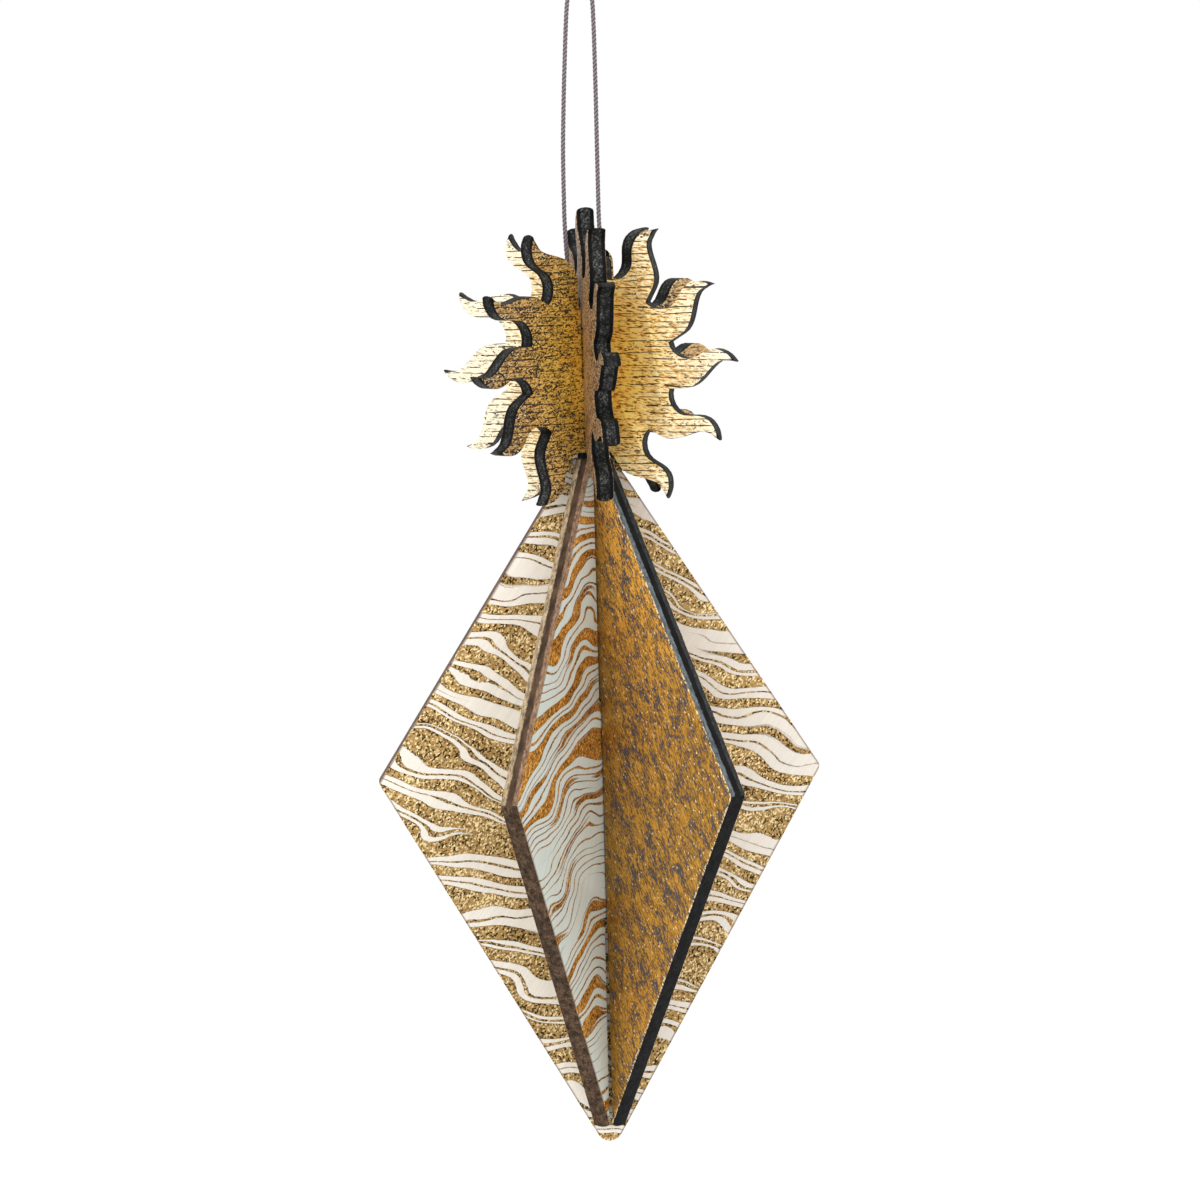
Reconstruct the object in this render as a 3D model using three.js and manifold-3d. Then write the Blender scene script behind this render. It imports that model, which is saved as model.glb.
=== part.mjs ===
// A hanging bauble of thin plywood. Three kite panels cross on one upright axis, three
// sun discs cross on the same axis above them, and a loop of string carries the whole.
// Millimetres, +Z up. The origin is the middle of the knot that the bauble hangs from.

import * as THREE from 'three';
import { mergeVertices } from 'three/addons/utils/BufferGeometryUtils.js';
import Module from 'manifold-3d';

const wasm = await Module();
wasm.setup();

// Sheet and fits
const sheetThickness = 3;
const slotClearance = 0.3; // slot wall to the panel that crosses it
const seatGap = 0.3; // between two slot floors that rest on each other
const overcut = 5; // how far an open slot runs past the outline
const panelStep = 60; // degrees from one panel to the next
const edgeSegments = 5; // facets on each curved stretch of an outline

// Body, with heights from its widest line
const bodyHalfWidth = 38;
const bodyUpperHeight = 59.5; // to the point where the upper edges would meet
const bodyLowerHeight = 66.1; // to the point where the lower edges would meet
const sideCornerRadius = 1.3;
const bottomTipRadius = 2.3;
const topLedge = 0.6; // wood left beside a slot at the cut-off top
const lowerLapDepth = 25; // below the widest line, where the lower two panels meet
const upperLapHeight = 13; // above it, where the upper two panels meet
const bodyTurn = 6.7; // degrees from +X to the first panel

// Peg on the uppermost kite panel, which carries the sun
const pegHalfWidth = 2;
const neckGap = 1.15; // cut-off top to the roof of the sun's notch

// Sun, with heights from its middle
const rayCount = 12;
const rayRootRadius = 15.1;
const rayTipRadius = 26.3;
const rayValley = 0.28; // of half a ray's root width, where its hollow side runs
const notchValley = 0.5; // the same on the side beside the notch
const pegPocketDepth = 4.5; // up from the roof of the notch
const lowerSunLapDepth = 1.9; // below the middle, where the lower two discs meet
const upperSunLapHeight = 6.4; // above it, where the upper two discs meet
const stubShare = 0.5; // of a ray's length, kept where a slot splits the ray
const sunTurn = -19; // degrees from +X to the first disc
const topDiscSlack = 2.6; // degrees that the top disc stands round in its loose slots
const topDiscLift = 0.5; // that the top disc stands higher than the other two
const lowerDiscShift = 0.7; // that the lower disc stands off the axis, along itself

// String
const stringDiameter = 0.8;
const stringBendRadius = 1.6;
const stringHoleDiameter = 2;
const stringHoleHeight = 10.5; // above the middle of the sun
const hangDrop = 67.2; // knot to the middle of the sun
const spinGap = 1.9; // sun's top to the level where the strands twist
const strandBreak = 0.3; // between the bight and the strands at that level
const stringSides = 8;
const stringStep = 2.2; // length of one facet along the string
const knotRadius = 1.6;
const knotGap = 0.15; // strand ends to the knot
const knotEntry = 0.75; // from the knot's middle out to each strand end
const knotSegments = 16;
const knotRings = 12;
const tailLength = 6.5;
const tailSpread = 16; // degrees that each cut end leans out
const boreSides = 16;

// Worked out from the above
const halfSheet = sheetThickness / 2;
const halfStringThickness = stringDiameter / 2;
const rayPitch = (2 * Math.PI) / rayCount;
const rayRootX = rayRootRadius * Math.cos(rayPitch / 2);
const rayRootHalfWidth = rayRootRadius * Math.sin(rayPitch / 2);
const notchRoof = -rayRootX;
const pocketRoof = notchRoof + pegPocketDepth;
const strandOffset = halfSheet + stringBendRadius;
const bodySlotHalf = slotHalfWidth(panelStep);
const sunSlotHalf = slotHalfWidth(panelStep - topDiscSlack);
const stringSlotHalf = Math.max(sunSlotHalf, strandOffset + halfStringThickness);
const stringSlotFloor = stringHoleHeight - halfStringThickness - slotClearance;
const bodyTopHalf = bodySlotHalf + topLedge;
const bodyTop = bodyUpperHeight * (1 - bodyTopHalf / bodyHalfWidth);
const sunAboveBody = bodyTop + neckGap - notchRoof;
const lowerLap = -lowerLapDepth;
const lowerSunLap = -lowerSunLapDepth;
const pegTurn = bodyTurn + 2 * panelStep;
const pegCrossing = THREE.MathUtils.degToRad(pegTurn - sunTurn - panelStep);
const pegReachAlong = pegHalfWidth * Math.abs(Math.cos(pegCrossing));
const pegReachAcross = halfSheet * Math.abs(Math.sin(pegCrossing));
const pegSlotHalf = pegReachAlong + pegReachAcross + slotClearance;
const topDiscTurn = sunTurn - panelStep - topDiscSlack;
const holeLevel = stringHoleHeight - hangDrop;
const bendTop = holeLevel + stringBendRadius;
const spinLevel = rayTipRadius + spinGap - hangDrop;
const bightTop = spinLevel - strandBreak / 2;
const strandBottom = spinLevel + strandBreak / 2;
const strandTop = -knotRadius - knotGap;

// Half the width of a slot for sheets that cross it at this angle, in degrees
function slotHalfWidth(crossing) {
  const angle = THREE.MathUtils.degToRad(crossing);
  return (halfSheet * (1 + Math.cos(angle))) / Math.sin(angle) + slotClearance;
}

// Solids
function solidOf(geometry) {
  geometry.deleteAttribute('normal');
  geometry.deleteAttribute('uv');
  const merged = mergeVertices(geometry);
  return new wasm.Manifold(
    new wasm.Mesh({
      numProp: 3,
      vertProperties: new Float32Array(merged.attributes.position.array),
      triVerts: new Uint32Array(merged.index.array),
    }),
  );
}

function geometryOf(solid) {
  const mesh = solid.getMesh();
  const geometry = new THREE.BufferGeometry();
  geometry.setAttribute('position', new THREE.BufferAttribute(mesh.vertProperties, 3));
  geometry.setIndex(new THREE.BufferAttribute(mesh.triVerts, 1));
  geometry.computeVertexNormals();
  return geometry;
}

// A sheet stands upright: its outline lies in X and Z, and its thickness in Y
function sheet(outline) {
  const geometry = new THREE.ExtrudeGeometry(outline, {
    depth: sheetThickness,
    bevelEnabled: false,
    curveSegments: edgeSegments,
  });
  geometry.translate(0, 0, -halfSheet);
  geometry.rotateX(Math.PI / 2);
  return solidOf(geometry);
}

function slot(halfWidth, bottom, top) {
  const geometry = new THREE.BoxGeometry(2 * halfWidth, 2 * sheetThickness, top - bottom);
  geometry.translate(0, 0, (bottom + top) / 2);
  return solidOf(geometry);
}

// The cuts stay on the axis where a sheet is shifted along itself
function cutSheet(outline, cuts, shift = 0) {
  const blank = sheet(outline).translate([shift, 0, 0]);
  return cuts.reduce((solid, cut) => solid.subtract(cut), blank);
}

function addMesh(parent, name, geometry, finish) {
  const mesh = new THREE.Mesh(geometry, new THREE.MeshStandardMaterial(finish));
  mesh.name = name;
  parent.add(mesh);
  return mesh;
}

// Kite panels
function roundCorner(shape, corner, before, after, radius) {
  const toBefore = before.clone().sub(corner).normalize();
  const toAfter = after.clone().sub(corner).normalize();
  const half = Math.acos(toBefore.dot(toAfter)) / 2;
  const run = radius / Math.tan(half);
  const middle = toBefore.clone().add(toAfter).normalize();
  const centre = corner.clone().addScaledVector(middle, radius / Math.sin(half));
  const start = corner.clone().addScaledVector(toBefore, run).sub(centre);
  const end = corner.clone().addScaledVector(toAfter, run).sub(centre);
  shape.absarc(centre.x, centre.y, radius, start.angle(), end.angle(), false);
}

function kiteOutline(hasPeg) {
  const left = new THREE.Vector2(-bodyHalfWidth, 0);
  const right = new THREE.Vector2(bodyHalfWidth, 0);
  const bottom = new THREE.Vector2(0, -bodyLowerHeight);
  const topLeft = new THREE.Vector2(-bodyTopHalf, bodyTop);
  const topRight = new THREE.Vector2(bodyTopHalf, bodyTop);
  const pegTop = sunAboveBody + pocketRoof - seatGap;
  const shape = new THREE.Shape();
  shape.moveTo(topRight.x, topRight.y);
  if (hasPeg) {
    shape.lineTo(pegHalfWidth, bodyTop);
    shape.lineTo(pegHalfWidth, pegTop);
    shape.lineTo(-pegHalfWidth, pegTop);
    shape.lineTo(-pegHalfWidth, bodyTop);
  }
  shape.lineTo(topLeft.x, topLeft.y);
  roundCorner(shape, left, topLeft, bottom, sideCornerRadius);
  roundCorner(shape, bottom, left, right, bottomTipRadius);
  roundCorner(shape, right, bottom, topRight, sideCornerRadius);
  shape.closePath();
  return shape;
}

const belowBody = -bodyLowerHeight - overcut;
const aboveBody = bodyUpperHeight + overcut;
const halfSeat = seatGap / 2;

const kitePanels = [
  {
    name: 'cream_kite_panel',
    finish: { color: '#e6dccb', roughness: 0.6, metalness: 0 },
    hasPeg: false,
    cuts: [[lowerLap - halfSeat, aboveBody]],
  },
  {
    name: 'grey_kite_panel',
    finish: { color: '#bcc6bd', roughness: 0.6, metalness: 0 },
    hasPeg: false,
    cuts: [
      [belowBody, lowerLap + halfSeat],
      [upperLapHeight - halfSeat, aboveBody],
    ],
  },
  {
    name: 'gold_kite_panel',
    finish: { color: '#a8792f', roughness: 0.45, metalness: 0.6 },
    hasPeg: true,
    cuts: [[belowBody, upperLapHeight + halfSeat]],
  },
];

// Sun discs. Along a ray, 0 is its root and 1 its tip; across it, 1 is half its root width.
// Each stretch gives two handles and an end, from the root round the tip to the next root.
function rayStretches(valley) {
  return [
    [[0.07, -0.99], [0.15, -0.98], [0.22, -0.98]],
    [[0.36, -0.98], [0.46, -0.66], [0.54, -0.4]],
    [[0.61, -0.17], [0.71, 0.19], [0.8, 0.2]],
    [[0.87, 0.21], [0.94, 0.17], [1, 0.12]],
    [[0.92, 0.41], [0.8, 0.7], [0.68, 0.7]],
    [[0.52, 0.7], [0.43, valley], [0.3, valley]],
    [[0.15, valley], [0.02, 0.61], [0, 1]],
  ];
}

function rayPoint(angle, along, across) {
  const x = rayRootX + along * (rayTipRadius - rayRootX);
  const y = across * rayRootHalfWidth;
  return new THREE.Vector2(x, y).rotateAround(new THREE.Vector2(), angle);
}

// The ray that would point straight down is left out, which makes the notch over the body
function sunOutline() {
  const first = -Math.PI / 2 + rayPitch;
  const last = rayCount - 2;
  const shape = new THREE.Shape();
  const start = rayPoint(first, 0, -1);
  shape.moveTo(start.x, start.y);
  for (let ray = 0; ray <= last; ray += 1) {
    const angle = first + ray * rayPitch;
    for (const stretch of rayStretches(ray === last ? notchValley : rayValley)) {
      const [a, b, c] = stretch.map(([along, across]) => rayPoint(angle, along, across));
      shape.bezierCurveTo(a.x, a.y, b.x, b.y, c.x, c.y);
    }
  }
  shape.closePath();
  return shape;
}

const belowSun = -rayTipRadius - overcut;
const aboveSun = rayTipRadius + overcut;
const stubTop = rayRootX + stubShare * (rayTipRadius - rayRootX);

// A slot that is open at the top also clears the string and the thin end of the split ray
function topSunSlots(floor) {
  return [
    slot(sunSlotHalf, floor - halfSeat, aboveSun),
    slot(stringSlotHalf, stringSlotFloor, aboveSun),
    slot(rayRootHalfWidth, stubTop, aboveSun),
  ];
}

function stringHole() {
  const radius = stringHoleDiameter / 2;
  const bore = new THREE.CylinderGeometry(radius, radius, 2 * sheetThickness, boreSides);
  bore.translate(0, 0, stringHoleHeight - topDiscLift);
  return solidOf(bore);
}

const sunFinish = { color: '#b88a3a', roughness: 0.4, metalness: 0.7 };

const sunDiscs = [
  {
    name: 'middle_sun_disc',
    turn: sunTurn,
    lift: 0,
    shift: 0,
    cuts: [slot(sunSlotHalf, belowSun, lowerSunLap + halfSeat), ...topSunSlots(upperSunLapHeight)],
  },
  {
    name: 'lower_sun_disc',
    turn: sunTurn + panelStep,
    lift: 0,
    shift: lowerDiscShift,
    cuts: [slot(pegSlotHalf, belowSun, pocketRoof), ...topSunSlots(lowerSunLap)],
  },
  {
    name: 'top_sun_disc',
    turn: topDiscTurn,
    lift: topDiscLift,
    shift: 0,
    cuts: [slot(sunSlotHalf, belowSun, upperSunLapHeight + halfSeat - topDiscLift), stringHole()],
  },
];

// String, across the top disc and up. The first value of a rise is how far the strand leans
// out from beside the sheet, and the first of a draw how far it has come in to the knot.
// The second is the share of the height.
const leftRise = [
  [0.03, 0.09],
  [0.18, 0.26],
  [0.42, 0.51],
  [0.56, 0.76],
  [0.58, 1],
];
const rightRise = [
  [-0.08, 0.12],
  [-0.38, 0.32],
  [-0.68, 0.51],
  [-0.88, 0.76],
  [-0.92, 1],
];
const leftDraw = [
  [0, 0],
  [0.02, 0.21],
  [0.13, 0.44],
  [0.25, 0.62],
  [0.37, 0.78],
  [0.49, 0.89],
  [0.68, 0.95],
  [0.9, 0.985],
  [1, 1],
];
const rightDraw = [
  [0, 0],
  [0, 0.21],
  [-0.01, 0.44],
  [0.01, 0.62],
  [0.04, 0.78],
  [0.14, 0.89],
  [0.44, 0.95],
  [0.81, 0.985],
  [1, 1],
];

// From the middle of the hole round the bend and up to the spin level
function halfBight(side, rise) {
  const cornerRun = stringBendRadius * Math.SQRT1_2;
  const bend = [
    [halfSheet, holeLevel],
    [halfSheet + cornerRun, bendTop - cornerRun],
    [strandOffset, bendTop],
  ];
  const leaning = rise.map(([lean, share]) => [
    strandOffset + lean,
    THREE.MathUtils.lerp(bendTop, bightTop, share),
  ]);
  return [...bend, ...leaning].map(([across, up]) => [side * across, up]);
}

function strand(side, rise, draw) {
  const start = strandOffset + rise.at(-1)[0];
  return draw.map(([drawn, share]) => [
    side * THREE.MathUtils.lerp(start, knotEntry, drawn),
    THREE.MathUtils.lerp(strandBottom, strandTop, share),
  ]);
}

const bightPoints = [
  ...halfBight(-1, leftRise).reverse(),
  [0, holeLevel],
  ...halfBight(1, rightRise),
];

function stringTube(points) {
  const stations = points.map(([across, up]) => new THREE.Vector3(across, 0, up));
  const path = new THREE.CatmullRomCurve3(stations);
  const section = new THREE.Shape();
  section.absarc(0, 0, halfStringThickness, 0, 2 * Math.PI);
  return new THREE.ExtrudeGeometry(section, {
    extrudePath: path,
    steps: Math.round(path.getLength() / stringStep),
    curveSegments: stringSides / 2,
  });
}

function knotTail(side) {
  const radius = halfStringThickness;
  const tail = new THREE.CylinderGeometry(radius, radius, tailLength, stringSides);
  tail.translate(0, tailLength / 2, 0);
  tail.rotateX(Math.PI / 2);
  tail.rotateY(side * THREE.MathUtils.degToRad(tailSpread));
  return solidOf(tail);
}

function knot() {
  const ball = solidOf(new THREE.SphereGeometry(knotRadius, knotSegments, knotRings));
  return geometryOf(ball.add(knotTail(-1)).add(knotTail(1)));
}

// Assembly
const bauble = new THREE.Group();

const body = new THREE.Group();
body.position.z = -hangDrop - sunAboveBody;
kitePanels.forEach(({ name, finish, hasPeg, cuts }, index) => {
  const slots = cuts.map(([bottom, top]) => slot(bodySlotHalf, bottom, top));
  const panel = addMesh(body, name, geometryOf(cutSheet(kiteOutline(hasPeg), slots)), finish);
  panel.rotation.z = THREE.MathUtils.degToRad(bodyTurn + index * panelStep);
});

const sun = new THREE.Group();
sun.position.z = -hangDrop;
for (const { name, turn, lift, shift, cuts } of sunDiscs) {
  const disc = addMesh(sun, name, geometryOf(cutSheet(sunOutline(), cuts, shift)), sunFinish);
  disc.position.z = lift;
  disc.rotation.z = THREE.MathUtils.degToRad(turn);
}

const string = new THREE.Group();
string.rotation.z = THREE.MathUtils.degToRad(topDiscTurn + 90);
const stringFinish = { color: '#6f656b', roughness: 0.8, metalness: 0 };
const leftStrand = strand(-1, leftRise, leftDraw);
const rightStrand = strand(1, rightRise, rightDraw);
addMesh(string, 'string_bight', stringTube(bightPoints), stringFinish);
addMesh(string, 'left_string_strand', stringTube(leftStrand), stringFinish);
addMesh(string, 'right_string_strand', stringTube(rightStrand), stringFinish);
addMesh(string, 'string_knot', knot(), stringFinish);

bauble.add(body, sun, string);

export default bauble;
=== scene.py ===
"""Dresses a hanging plywood bauble: its string, kite panels and sun discs, on a plain stage."""

import math

import bmesh
import bpy
from bpy.props import FloatProperty, FloatVectorProperty, PointerProperty
from mathutils import Matrix, Vector
from mathutils.geometry import interpolate_bezier
from mathutils.kdtree import KDTree


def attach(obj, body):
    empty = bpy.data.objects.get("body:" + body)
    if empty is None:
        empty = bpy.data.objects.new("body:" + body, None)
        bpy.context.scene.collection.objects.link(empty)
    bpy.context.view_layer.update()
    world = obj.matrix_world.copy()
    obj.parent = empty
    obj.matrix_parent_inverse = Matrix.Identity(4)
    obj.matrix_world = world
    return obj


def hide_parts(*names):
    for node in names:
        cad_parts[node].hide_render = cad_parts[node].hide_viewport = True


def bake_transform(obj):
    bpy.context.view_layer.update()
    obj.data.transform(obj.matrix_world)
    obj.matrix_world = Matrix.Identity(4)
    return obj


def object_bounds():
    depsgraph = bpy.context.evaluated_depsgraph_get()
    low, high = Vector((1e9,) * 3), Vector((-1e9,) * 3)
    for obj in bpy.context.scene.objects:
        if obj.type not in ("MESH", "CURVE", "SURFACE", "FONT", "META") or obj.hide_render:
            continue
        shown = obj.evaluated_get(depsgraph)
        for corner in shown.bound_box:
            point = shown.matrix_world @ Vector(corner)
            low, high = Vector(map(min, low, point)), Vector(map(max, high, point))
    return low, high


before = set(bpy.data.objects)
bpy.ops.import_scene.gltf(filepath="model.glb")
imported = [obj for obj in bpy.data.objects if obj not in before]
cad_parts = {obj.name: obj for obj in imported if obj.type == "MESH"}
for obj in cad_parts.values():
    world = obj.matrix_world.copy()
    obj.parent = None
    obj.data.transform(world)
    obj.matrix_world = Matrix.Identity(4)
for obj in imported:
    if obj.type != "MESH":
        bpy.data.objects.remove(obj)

bl_info = {
    "name": "Plywood Sun Bauble",
    "version": (1, 0, 0),
    "blender": (4, 5, 0),
    "location": "3D View > Sidebar > Bauble",
    "description": "Dresses a hanging bauble of crossed plywood panels",
    "category": "Object",
}

CAD_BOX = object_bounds()
MM = 0.001
PER_MM = 1 / MM
UP = Vector((0, 0, 1))
FULL_TURN = 2 * math.pi
SOFT_BORDER = 0.15  # of a width, on both sides of a soft border at that width


# Settings

def srgb(red, green, blue):
    """The scene colour of a display colour given from 0 to 255."""
    shares = (red / 255, green / 255, blue / 255)
    return tuple(((share + 0.055) / 1.055) ** 2.4 for share in shares)


def colour(name, description, display):
    """A colour setting, from a display colour."""
    return FloatVectorProperty(
        name=name, description=description, default=srgb(*display), subtype="COLOR", min=0, max=1
    )


def distance(name, description, default):
    """A length setting, in metres."""
    return FloatProperty(
        name=name, description=description, default=default, unit="LENGTH", precision=5
    )


def angle(name, description, degrees):
    """An angle setting, from degrees."""
    return FloatProperty(
        name=name, description=description, default=math.radians(degrees), subtype="ANGLE"
    )


def level(name, description, default):
    """A setting for a brightness."""
    return FloatProperty(name=name, description=description, default=default, min=0)


class SheetSettings(bpy.types.PropertyGroup):
    """Sizes that every plywood panel shares."""

    edge_softness: distance("Edge softness", "Width of the worn corner along an edge", 0.15 * MM)
    face_wrap: distance("Face wrap", "How far the finish of a face laps over its edge", 0.06 * MM)
    smooth_angle: angle("Smooth angle", "Edges that bend less than this look round", 28)
    sharp_angle: angle("Sharp angle", "An outline that turns more than this ends in a thin tip", 110)
    tip_wear: distance("Tip wear", "How far the corners of a thin tip are worn back", 0.8 * MM)
    tip_reach: distance("Tip reach", "How far from its end a thin tip is worn", 1.7 * MM)


class KiteSettings(bpy.types.PropertyGroup):
    """Finish of the three kite panels."""

    stripe_pitch: distance("Stripe pitch", "Mean distance from stripe to stripe", 4.8 * MM)
    cream: colour("Cream", "Ground of the cream panel", (238, 231, 219))
    cream_foil: colour("Cream panel foil", "Foil stripes of the cream panel", (168, 134, 80))
    cream_pits: colour("Cream foil pits", "Dark flakes in the foil of the cream panel", (50, 36, 12))
    # Painted glints: bright flakes that stand in for light the foil catches.
    cream_glint: colour("Cream foil glints", "Bright flakes in the same foil", (238, 216, 166))
    grey: colour("Grey", "Ground of the grey panel", (206, 213, 205))
    grey_foil: colour("Grey panel foil", "Foil stripes of the grey panel", (190, 130, 56))
    grey_pits: colour("Grey foil pits", "Dark flakes in the foil of the grey panel", (96, 60, 20))
    # Painted glints, as on the cream panel.
    grey_glint: colour("Grey foil glints", "Bright flakes in the same foil", (244, 194, 108))
    leaf: colour("Gold leaf", "Leaf on the gold panel", (222, 165, 70))
    dull_leaf: colour("Dull leaf", "Thin leaf on the gold panel", (144, 103, 42))
    # Painted glints in the leaf.
    leaf_glint: colour("Leaf glints", "Bright flakes in the leaf", (244, 222, 178))
    patina: colour("Patina", "Tarnish on the gold panel", (84, 80, 85))
    scorch: colour("Scorch", "Brown line along a cut", (120, 88, 66))
    cream_edge: colour("Cream panel edge", "Cut edge of the cream panel", (98, 76, 66))
    brown_edge: colour("Grey panel edge", "Cut edge of the grey panel", (74, 57, 43))
    brown_margin: colour("Brown margin", "Grey panel's right ply, cut along the grain", (132, 104, 82))
    pale_margin: colour("Pale margin", "Grey panel's left ply, cut along the grain", (164, 143, 114))
    black_edge: colour("Gold panel edge", "Cut edge of the gold panel", (20, 20, 20))
    # Painted sheen: the gold panel's left ply is paler than its right partly from its cut along the
    # grain and partly from sheen painted in.
    ashen_sheen_margin: colour("Ashen margin", "Gold panel's left ply, cut along the grain", (100, 107, 110))
    black_margin: colour("Black margin", "Gold panel's right ply, cut along the grain", (52, 53, 53))
    margin_width: distance("Margin width", "Width of the outer plies of an edge", 0.92 * MM)


class SunSettings(bpy.types.PropertyGroup):
    """Finish of the three sun discs."""

    foil: colour("Foil", "Gold foil on the faces", (242, 201, 124))
    # Painted light: the warm foil by the axis is painted interreflection between the gold faces, and
    # the pale foil on the rays is painted highlight.
    warm_reflection_foil: colour("Warm foil", "Foil near the middle of a disc", (255, 200, 72))
    highlit_pale_foil: colour("Pale foil", "Foil on the rays", (250, 238, 212))
    worn_foil: colour("Worn foil", "Thin foil on a worn disc", (198, 152, 80))
    # The same painted interreflection and highlight on the worn disc.
    worn_warm_reflection_foil: colour("Worn warm foil", "Thin foil in its middle", (255, 202, 70))
    worn_highlit_pale_foil: colour("Worn pale foil", "Thin foil on its rays", (182, 152, 114))
    # Painted shade: the top disc's foil is painted darker and duller than the others.
    shaded_dull_foil: colour("Dull foil", "Foil rubbed to the wood", (206, 166, 124))
    shaded_brown_foil: colour("Brown foil", "The same on the rays", (106, 86, 66))
    # Painted highlights on the crests of the worn disc's crinkled foil.
    worn_crest_highlight: colour("Worn ridges", "Ridges in the thin foil", (240, 198, 128))
    # Painted glints: single flakes painted bright, warm by the axis.
    glint: colour("Glint", "Bright flakes in the foil", (253, 241, 208))
    warm_glint: colour("Warm glint", "Bright flakes near the middle of a disc", (255, 224, 112))
    crack: colour("Cracks", "Dark wood in the cracks of the foil", (44, 38, 38))
    edge: colour("Edge", "Scorched outer plies", (7, 7, 8))
    core: colour("Core", "Scorched inner ply", (42, 43, 41))
    outer_ply: distance("Outer ply", "Thickness of the outer plies", 0.7 * MM)
    warm_reflection_reach: distance("Warm reach", "How far the warm foil reaches from the middle", 15 * MM)
    crack_gap: distance("Crack gap", "Usual distance from crack to crack", 1.1 * MM)


class StringSettings(bpy.types.PropertyGroup):
    """Sizes and colour of the string."""

    diameter: distance("Diameter", "Thickness of the twisted string", 0.8 * MM)
    twist: distance("Twist", "Length in which the yarns turn once", 2.1 * MM)
    yarn: colour("Yarn", "Colour of the yarn", (98, 89, 93))


class StageSettings(bpy.types.PropertyGroup):
    """Camera, light and floor."""

    camera_right: distance("Camera right", "Camera's place to the right of the axis", 0.746 * MM)
    camera_back: distance("Camera back", "Camera's place in front of the axis", 744.96 * MM)
    camera_drop: distance("Camera drop", "Camera's place below the knot", 29.44 * MM)
    camera_pitch: angle("Camera pitch", "How far the camera looks down", 5.957)
    camera_roll: angle("Camera roll", "How far the camera leans", 1.443)
    lens: FloatProperty(name="Lens", description="Focal length", default=131.78, unit="CAMERA")
    floor_gap: distance("Floor gap", "Lowest tip to the floor", 60 * MM)
    floor_width: distance("Floor width", "Side of the floor", 8)
    room_light: level("Room light", "Brightness of the room on matt surfaces", 0.74)
    front_light: level("Front light", "Brightness of the lamp beside the camera", 0.7)
    key_light: level("Key light", "Brightness of the large lamp on the left", 1.25)
    fill_light: level("Fill light", "Brightness of the lamp on the right", 1.8)
    top_light: level("Top light", "Brightness of the lamp above", 1.0)


# Shading

class Shade:
    """A shader value that takes plain arithmetic, and adds any other node to its tree."""

    def __init__(self, tree, socket=None):
        self.tree = tree
        self.socket = socket

    def node(self, kind, settings=None, sockets=None, output=0):
        """Adds a node: its settings first, then the values or links of its sockets."""
        added = self.tree.nodes.new("ShaderNode" + kind)
        for name, value in (settings or {}).items():
            setattr(added, name, value)
        for name, value in (sockets or {}).items():
            if isinstance(value, Shade):
                self.tree.links.new(value.socket, added.inputs[name])
            else:
                added.inputs[name].default_value = value
        return Shade(self.tree, added.outputs[output])

    def math(self, operation, *values):
        """Adds a math node over the given values."""
        return self.node("Math", {"operation": operation}, dict(enumerate(values)))

    def __add__(self, other):
        return self.math("ADD", self, other)

    def __sub__(self, other):
        return self.math("SUBTRACT", self, other)

    def __rsub__(self, other):
        return self.math("SUBTRACT", other, self)

    def __mul__(self, other):
        return self.math("MULTIPLY", self, other)

    def __truediv__(self, other):
        return self.math("DIVIDE", self, other)

    def __gt__(self, other):
        return self.math("GREATER_THAN", self, other)

    def __lt__(self, other):
        return self.math("LESS_THAN", self, other)

    def __abs__(self):
        return self.math("ABSOLUTE", self)

    __radd__ = __add__
    __rmul__ = __mul__

    def ramp(self, low, high):
        """0 at low and 1 at high, smooth between them."""
        return self.node(
            "MapRange",
            {"interpolation_type": "SMOOTHSTEP"},
            {"Value": self, "From Min": low, "From Max": high},
        )

    def past(self, width):
        """0 short of a width and 1 past it, with a soft border."""
        return self.ramp(width * (1 - SOFT_BORDER), width * (1 + SOFT_BORDER))

    def scaled(self, x, y, z):
        """This vector, scaled along its axes."""
        return self.node("VectorMath", {"operation": "MULTIPLY"}, {0: self, 1: (x, y, z)})

    def split(self):
        """The X, Y and Z of this vector."""
        parts = self.node("SeparateXYZ", None, {0: self}).socket.node.outputs
        return [Shade(self.tree, part) for part in parts]

    def dimmed(self, share):
        """This colour, darker or brighter by a share."""
        return self.node("VectorMath", {"operation": "SCALE"}, {0: self, "Scale": share})

    def noise(self, seed, detail=2, roughness=0.5):
        """Cloudy noise over this vector, about 0.5, with features one unit wide."""
        return self.node(
            "TexNoise",
            {"noise_dimensions": "4D"},
            {"Vector": self, "W": seed, "Scale": 1, "Detail": detail, "Roughness": roughness},
        )

    def flakes(self, seed):
        """A level from 0 to 1 for each flake over this vector, with flakes one unit wide."""
        moved = self.node("VectorMath", {"operation": "ADD"}, {0: self, 1: (seed, seed, seed)})
        cells = self.node("TexVoronoi", None, {"Vector": moved, "Scale": 1}, output="Color")
        return cells.split()[0]

    def mix(self, first, second):
        """The first colour where this value is 0, and the second where it is 1."""
        sockets = {0: self, 6: solid(first), 7: solid(second)}
        return self.node("Mix", {"data_type": "RGBA"}, sockets, output=2)


def solid(value):
    """A colour as a socket takes it: a link stays a link."""
    return value if isinstance(value, Shade) else (*value, 1)


def tinted(setting, share):
    """A colour setting, darker or brighter by a share."""
    return [min(part * share, 1) for part in setting]


def direct_rays(shade):
    """1 for rays that come from the camera, off a mirror or through glass, and 0 for the others."""
    rays = shade.node("LightPath").socket.node.outputs
    seen, mirrored, passed = [
        Shade(shade.tree, rays[name])
        for name in ("Is Camera Ray", "Is Glossy Ray", "Is Transmission Ray")
    ]
    return seen + mirrored + passed


def new_material(name):
    """A new material, and a shader value in its tree to start from."""
    material = bpy.data.materials.new(name)
    material.use_nodes = True
    return material, Shade(material.node_tree)


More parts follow.
